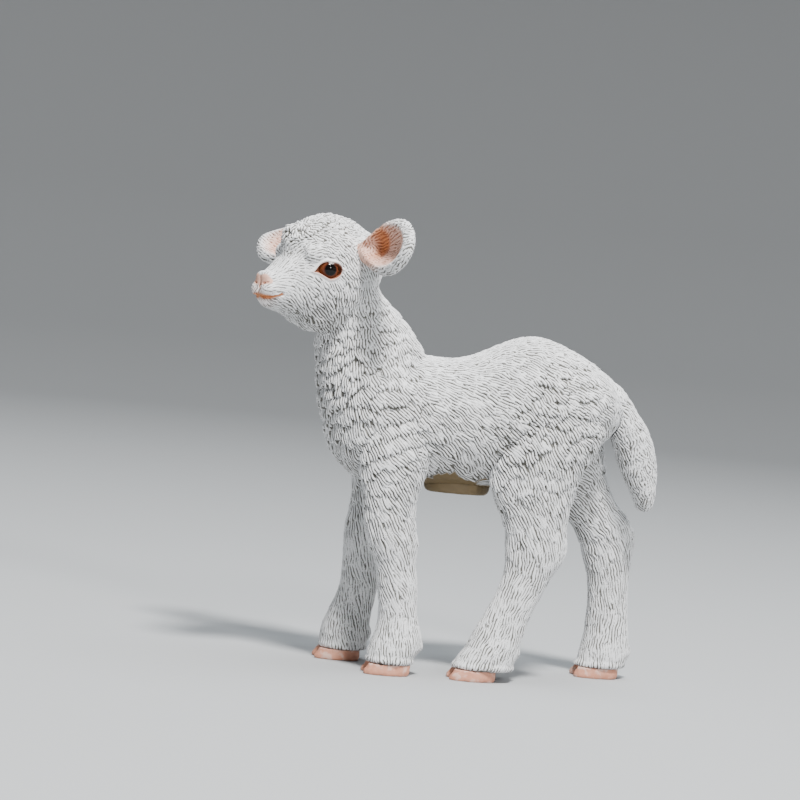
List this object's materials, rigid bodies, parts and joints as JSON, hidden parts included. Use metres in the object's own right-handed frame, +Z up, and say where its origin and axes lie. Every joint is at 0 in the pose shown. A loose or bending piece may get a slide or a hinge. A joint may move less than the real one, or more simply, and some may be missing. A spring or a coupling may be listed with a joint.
{
  "type": "lamb figurine",
  "caption": "Small standing lamb figurine in painted cold-cast resin, with carved wool, cupped ears and cloven hooves, head turned to its left.",
  "frame": {"origin": "on the ground under the figurine, at the middle of its box seen from above; the trunk's middle plane lies 3.4 mm to the right of it, because the head turns left", "axes": "+Z up, the lamb faces -X, its left side and its turned head are towards -Y"},
  "size_m": [0.1382, 0.0664, 0.1428],
  "materials": {
    "wool_paint": "white matte acrylic paint over carved wool in cold-cast resin, with a grey wash in the grooves",
    "ear_paint": "white rim with a salmon-pink airbrushed hollow, matte",
    "eye_gloss": "red-brown iris and black pupil under clear gloss",
    "hoof_paint": "flesh-pink matte paint, rubbed at the edges",
    "bare_resin": "smooth unpainted resin, dull brown-grey",
    "steel": "plain drawn wire"
  },
  "bodies": {
    "root": {"body_casting": "wool_paint", "head_casting": "wool_paint", "left_ear": "ear_paint", "right_ear": "ear_paint", "left_eye": "eye_gloss", "right_eye": "eye_gloss", "tail": "wool_paint", "front_left_leg": "wool_paint", "front_right_leg": "wool_paint", "hind_left_leg": "wool_paint", "hind_right_leg": "wool_paint", "front_left_hoof": "hoof_paint", "front_right_hoof": "hoof_paint", "hind_left_hoof": "hoof_paint", "hind_right_hoof": "hoof_paint", "belly_plug": "bare_resin", "front_left_leg_wire": "steel", "front_right_leg_wire": "steel", "hind_left_leg_wire": "steel", "hind_right_leg_wire": "steel", "neck_dowel": "steel", "tail_pin": "steel"}
  },
  "joints": []
}
